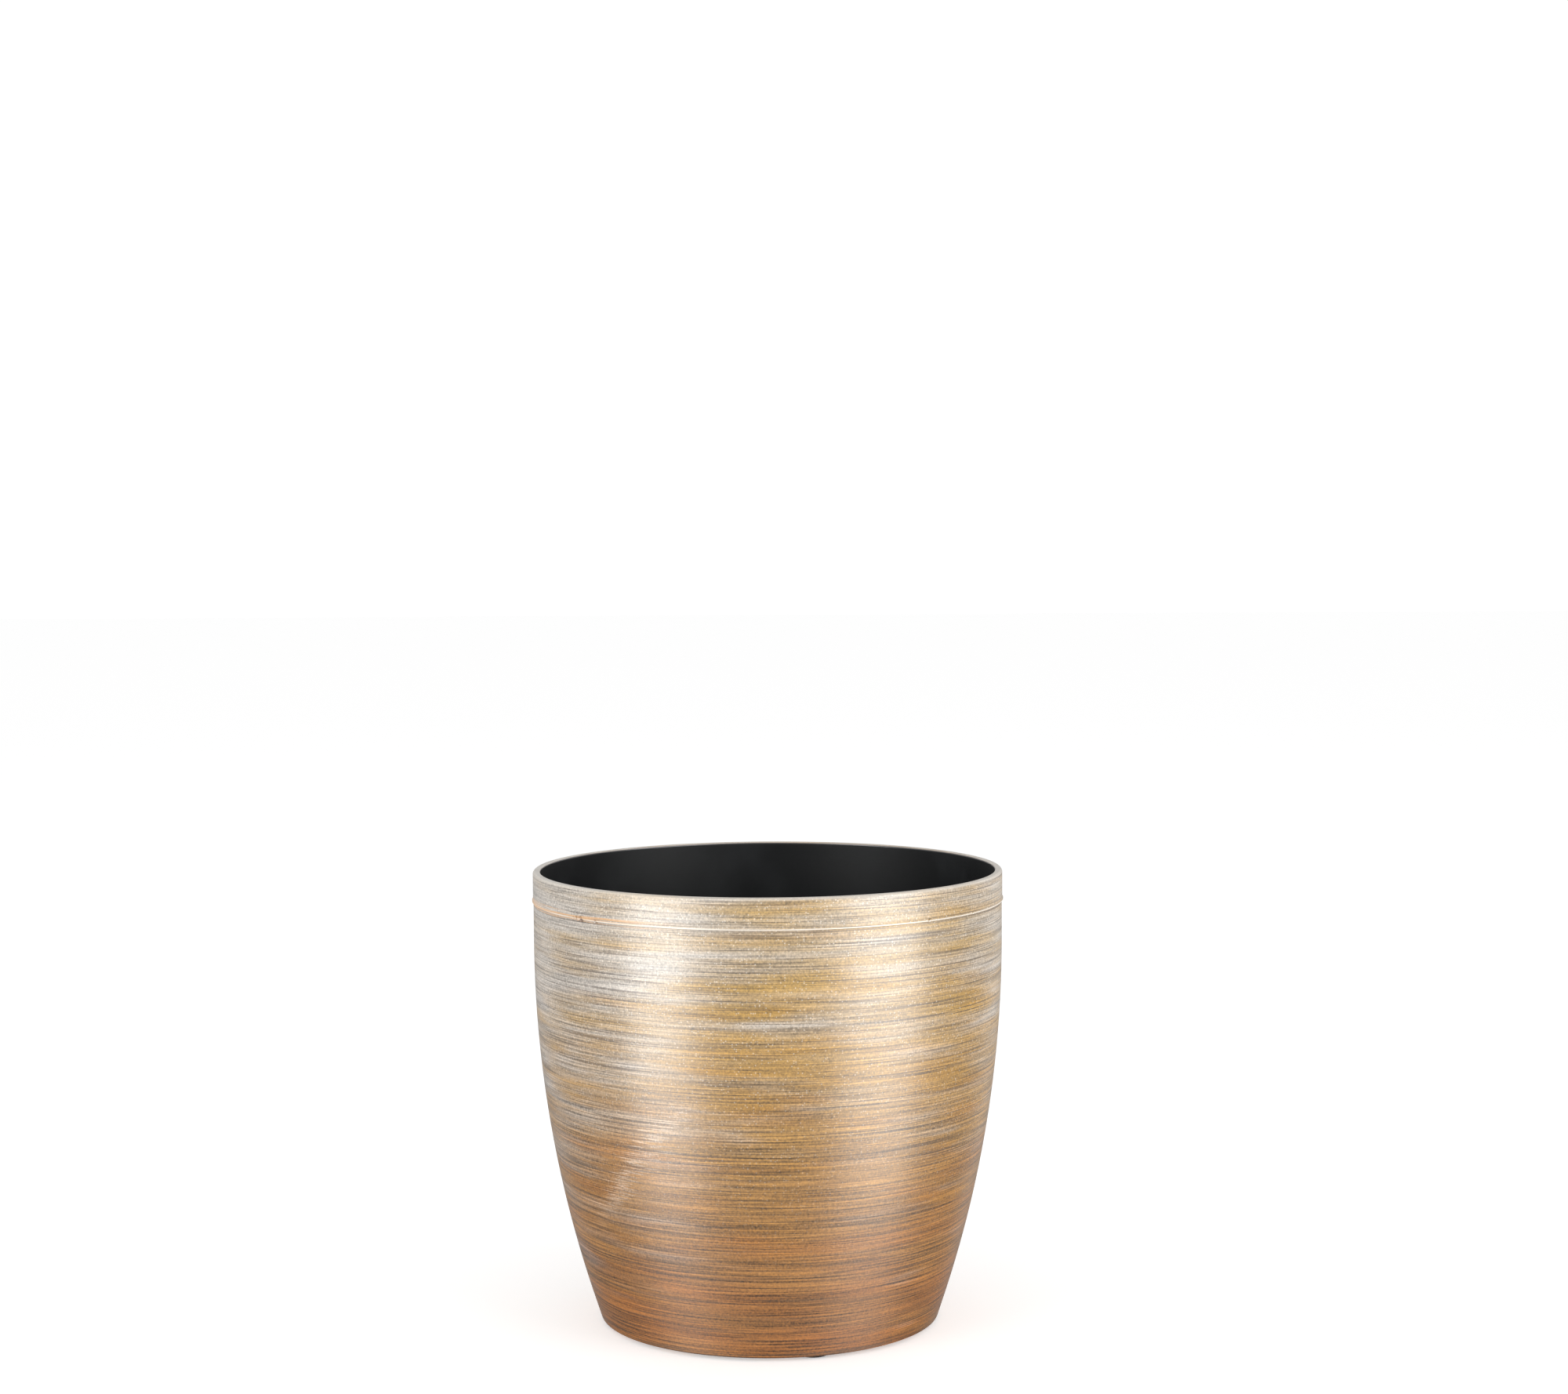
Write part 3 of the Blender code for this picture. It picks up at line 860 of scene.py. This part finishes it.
nub = add(tree, "GeometryNodeMeshIcoSphere", {"Radius": given["Nub Size"], "Subdivisions": 3})
size = add(
    tree,
    "FunctionNodeRandomValue",
    {"Min": NUB_LEAST, "Max": NUB_MOST, "Seed": given["Seed"]},
    data_type="FLOAT_VECTOR",
)
nubs = add(
    tree,
    "GeometryNodeInstanceOnPoints",
    {"Points": on_ridge, "Instance": nub, "Rotation": facing, "Scale": size},
)
covering = add(
    tree,
    "FunctionNodeRandomValue",
    {"Min": NUB_PAINT_LEAST, "Max": NUB_PAINT_MOST, "Seed": given["Seed"]},
    data_type="FLOAT",
)
painted_nubs = add(
    tree,
    "GeometryNodeStoreNamedAttribute",
    {"Geometry": nubs, "Name": "lacquer", "Value": covering},
    data_type="FLOAT",
    domain="INSTANCE",
)
finish_tree(tree, painted_nubs, [(lacquer, None)])
run_tree(
    "flash_nubs",
    tree,
    bpy.data.meshes.new("flash_start"),
    {
        "Cluster Count": NUBS_IN_CLUSTER,
        "Cluster Angle": CLUSTER_ANGLE,
        "Cluster Spread": CLUSTER_SPREAD,
        "Single Count": SINGLE_NUBS,
        "Ring Radius": RIM_RADIUS + RIDGE_PROUD / 2,
        "Height Least": LOWEST_NUB_Z,
        "Height Most": HIGHEST_NUB_Z,
        "Nub Size": NUB_SIZE,
        "Seed": NUB_SEED,
    },
    "cover_pot",
    [],
)

# %% [markdown]
# ## Foot pads
#
# Four soft discs, set into their pockets, lift the pot off the table and keep it from sliding.
# They are all alike, so one tree turns one pad and sets a copy at each of four points on a ring.

# %% Foot pads
PAD_ROUND = 0.0002
PAD_SEGMENTS = 48
pad_top = FOOT_Z + POCKET_DEPTH - GAP
pad_outline = [(0.0, 0.0)]
pad_outline += arc((PAD_RADIUS - PAD_ROUND, PAD_ROUND), PAD_ROUND, -90, 0, 4)
pad_outline += arc((PAD_RADIUS - PAD_ROUND, pad_top - PAD_ROUND), PAD_ROUND, 0, 90, 4)
pad_outline += [(0.0, pad_top)]

tree, given = new_tree(
    "foot_pads", {"Segments": WHOLE, "Count": WHOLE, "Ring Radius": FLOAT, "First Angle": FLOAT}
)
pad = lathe(tree, given["Geometry"], given["Segments"])
pads = ring_of(tree, pad, given["Count"], given["Ring Radius"], given["First Angle"], 0.0)
finish_tree(tree, pads, [(rubber, None)])
run_tree(
    "foot_pads",
    tree,
    outline_mesh("pad_outline", pad_outline),
    {
        "Segments": PAD_SEGMENTS,
        "Count": PAD_COUNT,
        "Ring Radius": PAD_RING_RADIUS,
        "First Angle": PAD_FIRST_ANGLE,
    },
    "cover_pot",
    [f"foot_pad_{number + 1}" for number in range(PAD_COUNT)],
)

# %% [markdown]
# ## The grow pot
#
# The plant's own pot is a thin thermoformed or moulded pot of black polypropylene that lifts out for
# watering. It is a millimetre thick and narrows towards its base, with a small step that stops
# stacked pots from jamming. Its rim turns out and down so that fingers can get under it. It is the
# same lathe with another outline.


# %% Grow pot outline
GROW_WALL = 0.0010
GROW_BASE_THICKNESS = 0.0012
GROW_RIM_OVERHANG = 0.0036
GROW_RIM_SKIRT = 0.0055
GROW_SHOULDER_DROP = 0.0210
GROW_SHOULDER_STEP = 0.0012
GROW_BASE_ROUND = 0.0030
GROW_FOOT_HEIGHT = 0.0045
GROW_BASE_CLEARANCE = 0.0060
grow_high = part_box("grow_pot")[1]
GROW_RIM_Z = grow_high.z
GROW_RIM_RADIUS = grow_high.x
GROW_TOP_RADIUS = GROW_RIM_RADIUS - GROW_RIM_OVERHANG
GROW_FOOT_Z = FLOOR_Z + GAP
GROW_UNDERSIDE_Z = GROW_FOOT_Z + GROW_FOOT_HEIGHT
GROW_BASE_RADIUS = wall_radius(GROW_UNDERSIDE_Z) - WALL - GROW_BASE_CLEARANCE


def grow_wall_radius(z):
    """Outer radius of the grow pot's wall, which is narrower under the stacking shoulder."""
    share = (z - GROW_UNDERSIDE_Z) / (GROW_RIM_Z - GROW_UNDERSIDE_Z)
    radius = GROW_BASE_RADIUS + (GROW_TOP_RADIUS - GROW_BASE_RADIUS) * share
    return radius if z > GROW_RIM_Z - GROW_SHOULDER_DROP else radius - GROW_SHOULDER_STEP


def grow_outline():
    """Out along the underside, up, over the turned-down rim and back down the inside."""
    shoulder = GROW_RIM_Z - GROW_SHOULDER_DROP
    over_shoulder = shoulder + GROW_SHOULDER_STEP
    under_rim = GROW_RIM_Z - GROW_WALL
    skirt = GROW_RIM_Z - GROW_RIM_SKIRT
    round_z = GROW_UNDERSIDE_Z + GROW_BASE_ROUND
    base_centre = (grow_wall_radius(round_z) - GROW_BASE_ROUND, round_z)
    floor_z = GROW_UNDERSIDE_Z + GROW_BASE_THICKNESS
    inner_round = GROW_BASE_ROUND - GROW_WALL
    inside_edge = GROW_TOP_RADIUS - GROW_WALL

    points = [(0.0, GROW_UNDERSIDE_Z)]
    points += arc(base_centre, GROW_BASE_ROUND, -90, 0, 8)
    points += between(points[-1], (grow_wall_radius(shoulder), shoulder), 12)
    points.append((grow_wall_radius(over_shoulder), over_shoulder))
    points += between(points[-1], (grow_wall_radius(under_rim), under_rim), 4)
    points.append((GROW_RIM_RADIUS - GROW_WALL, under_rim))
    points.append((GROW_RIM_RADIUS - GROW_WALL, skirt))
    points.append((GROW_RIM_RADIUS, skirt))
    points += arc((GROW_RIM_RADIUS - GROW_WALL, under_rim), GROW_WALL, 0, 90, 6)
    points.append((inside_edge + GROW_WALL / 2, GROW_RIM_Z))
    points.append((inside_edge, GROW_RIM_Z - GROW_WALL / 2))
    points.append((grow_wall_radius(over_shoulder) - GROW_WALL, over_shoulder))
    points.append((grow_wall_radius(shoulder) - GROW_WALL, shoulder))
    inner_centre = (base_centre[0], floor_z + inner_round)
    points += between(points[-1], (inner_centre[0] + inner_round, inner_centre[1]), 12)[:-1]
    return points + arc(inner_centre, inner_round, 0, -90, 8) + [(0.0, floor_z)]


grow_points = grow_outline()
print(f"grow pot {2000 * GROW_RIM_RADIUS:.1f} mm across, outline of {len(grow_points)} points")

# %% [markdown]
# The grow pot stands on four short feet, so that water can leave by a ring of eight drain holes and
# one in the middle. The feet are joined on and the holes are cut through, both by Mesh Boolean. Feet
# and holes are rings of one cylinder each, like the pads.

# %% Grow pot
GROW_FOOT_COUNT = 4
GROW_FOOT_RADIUS = 0.0040
GROW_FOOT_EDGE_MARGIN = 0.0050
GROW_FOOT_OVERLAP = 0.0006
DRAIN_COUNT = 8
CUTTER_HEIGHT = 0.004
ROUND_SIDES = 32
CENTRE_SIDES = 40
DRAIN_RADIUS = 0.0035
CENTRE_DRAIN_RADIUS = 0.0045
foot_ring = GROW_BASE_RADIUS - GROW_SHOULDER_STEP - GROW_FOOT_EDGE_MARGIN - GROW_FOOT_RADIUS
foot_height = GROW_FOOT_HEIGHT + GROW_FOOT_OVERLAP

tree, given = new_tree(
    "turned_grow_pot",
    {
        "Segments": WHOLE,
        "Foot Count": WHOLE,
        "Foot Ring": FLOAT,
        "Foot Radius": FLOAT,
        "Foot Height": FLOAT,
        "Foot Middle": FLOAT,
        "Foot Angle": FLOAT,
        "Drain Count": WHOLE,
        "Drain Ring": FLOAT,
        "Drain Radius": FLOAT,
        "Centre Drain Radius": FLOAT,
        "Base Height": FLOAT,
    },
)
body = lathe(tree, given["Geometry"], given["Segments"])
foot = add(
    tree,
    "GeometryNodeMeshCylinder",
    {"Vertices": ROUND_SIDES, "Radius": given["Foot Radius"], "Depth": given["Foot Height"]},
)
feet = ring_of(
    tree,
    foot,
    given["Foot Count"],
    given["Foot Ring"],
    given["Foot Angle"],
    given["Foot Middle"],
)
with_feet = add(tree, "GeometryNodeMeshBoolean", {0: body}, operation="UNION", solver="EXACT")
tree.links.new(feet.outputs[0], with_feet.inputs["Mesh 2"])
drain = add(
    tree,
    "GeometryNodeMeshCylinder",
    {"Vertices": ROUND_SIDES, "Radius": given["Drain Radius"], "Depth": CUTTER_HEIGHT},
)
drains = ring_of(
    tree, drain, given["Drain Count"], given["Drain Ring"], 0.0, given["Base Height"]
)
centre = add(
    tree,
    "GeometryNodeMeshCylinder",
    {
        "Vertices": CENTRE_SIDES,
        "Radius": given["Centre Drain Radius"],
        "Depth": CUTTER_HEIGHT,
    },
)
centre_at = add(
    tree,
    "GeometryNodeTransform",
    {
        "Geometry": centre,
        "Translation": add(tree, "ShaderNodeCombineXYZ", {"Z": given["Base Height"]}),
    },
)
drained = add(
    tree,
    "GeometryNodeMeshBoolean",
    {"Mesh 1": with_feet, "Mesh 2": drains},
    operation="DIFFERENCE",
    solver="EXACT",
)
tree.links.new(centre_at.outputs[0], drained.inputs["Mesh 2"])
finish_tree(tree, drained, [(thin_plastic, None)])
run_tree(
    "grow_pot_shell",
    tree,
    outline_mesh("grow_pot_outline", grow_points),
    {
        "Segments": POT_SEGMENTS,
        "Foot Count": GROW_FOOT_COUNT,
        "Foot Ring": foot_ring,
        "Foot Radius": GROW_FOOT_RADIUS,
        "Foot Height": foot_height,
        "Foot Middle": GROW_FOOT_Z + foot_height / 2,
        "Foot Angle": math.pi / GROW_FOOT_COUNT,
        "Drain Count": DRAIN_COUNT,
        "Drain Ring": GROW_BASE_RADIUS / 2,
        "Drain Radius": DRAIN_RADIUS,
        "Centre Drain Radius": CENTRE_DRAIN_RADIUS,
        "Base Height": GROW_UNDERSIDE_Z + GROW_BASE_THICKNESS / 2,
    },
    "grow_pot",
    ["grow_pot"],
)

# %% [markdown]
# ## The floor
#
# A white card under the pot. It is no part of the object, so it is only staging. It glows a little,
# as a card does when it is lit from behind for a white background. It casts no reflection up the
# pot, whose low wall would look milky.

# %% Floor
FLOOR_HALF = 6.0
FLOOR_BELOW = 0.0001
CARD = linear("#F5F5F5")
CARD_GLOW = 0.4
CARD_ROUGHNESS = 0.9
WHITE = linear("#FFFFFF")

scene = bpy.context.scene
scene.view_settings.view_transform = "Standard"
floor_mesh = bpy.data.meshes.new("floor")
square = [(-1, -1), (1, -1), (1, 1), (-1, 1)]
corners = [(FLOOR_HALF * x, FLOOR_HALF * y, -FLOOR_BELOW) for x, y in square]
floor_mesh.from_pydata(corners, [], [(0, 1, 2, 3)])
floor = bpy.data.objects.new("floor", floor_mesh)
floor.visible_glossy = False
floor.visible_shadow = False
scene.collection.objects.link(floor)
floor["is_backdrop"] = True
card = bpy.data.materials.new("white_card")
card.use_nodes = True
card_shader = card.node_tree.nodes["Principled BSDF"]
card_shader.inputs["Base Color"].default_value = CARD
card_shader.inputs["Emission Color"].default_value = WHITE
card_shader.inputs["Emission Strength"].default_value = CARD_GLOW
card_shader.inputs["Roughness"].default_value = CARD_ROUGHNESS
floor_mesh.materials.append(card)
print("floor:", floor.name, "of", card.name)

# %% [markdown]
# ## The studio
#
# The room round the pot is white and even, and dimmer below, so that the wall darkens towards the
# foot where it leans out over the table. The camera itself sees plain white. Two tall softboxes
# stand in front, left and right. Each draws one broad band of light up the wall, with the darker
# gold between them. Two weak ones behind only lift the pot's edges.

# %% World
DIM_BELOW, DIM_RISE = 0.08, -0.5
BRIGHT_ABOVE, BRIGHT_RISE = 0.65, 0.3
BACKDROP = 1.05

world = bpy.data.worlds.new("studio")
world.use_nodes = True
studio = world.node_tree
sight = add(studio, "ShaderNodeTexCoord").outputs["Generated"]
rise = add(studio, "ShaderNodeSeparateXYZ", {0: sight}).outputs["Z"]
glow = add(
    studio,
    "ShaderNodeMapRange",
    {
        "Value": rise,
        "From Min": DIM_RISE,
        "From Max": BRIGHT_RISE,
        "To Min": DIM_BELOW,
        "To Max": BRIGHT_ABOVE,
    },
)
seen = add(studio, "ShaderNodeLightPath").outputs["Is Camera Ray"]
strength = add(
    studio, "ShaderNodeMix", {"Factor": seen, "A": glow, "B": BACKDROP}, data_type="FLOAT"
)
background = studio.nodes["Background"]
studio.links.new(strength.outputs[0], background.inputs["Strength"])
background.inputs["Color"].default_value = WHITE
scene.world = world
print("world:", world.name)

# %% Softboxes
SOFTBOX_DISTANCE = 1.3
SOFTBOX_HEIGHT = 1.4


def softbox(name, azimuth, elevation, width, power):
    """An area light that faces the pot. Azimuth 0 is in front, and positive is towards +X."""
    light = bpy.data.lights.new(name, "AREA")
    light.shape = "RECTANGLE"
    light.size = width
    light.size_y = SOFTBOX_HEIGHT
    light.energy = power
    lamp = bpy.data.objects.new(name, light)
    turn, rise = math.radians(azimuth), math.radians(elevation)
    flat = math.cos(rise)
    away = Vector((math.sin(turn) * flat, -math.cos(turn) * flat, math.sin(rise)))
    lamp.location = Vector((0, 0, LIP_Z / 2)) + away * SOFTBOX_DISTANCE
    lamp.rotation_euler = away.to_track_quat("Z", "Y").to_euler()
    lamp.visible_camera = False
    scene.collection.objects.link(lamp)
    print(f"{name}: {azimuth} degrees round, {power} W")


softbox("left_softbox", azimuth=-52, elevation=-2, width=0.76, power=13)
softbox("right_softbox", azimuth=56, elevation=-2, width=0.96, power=16)
softbox("left_edge_softbox", azimuth=-142, elevation=5, width=0.6, power=0.3)
softbox("right_edge_softbox", azimuth=140, elevation=5, width=0.6, power=0.8)

# %% [markdown]
# ## The last step
#
# The finished model is measured, so that its size can be held against the imported model's.

# %% Finish
low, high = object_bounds()
print("visual box:", [round(v, 4) for v in low], [round(v, 4) for v in high])
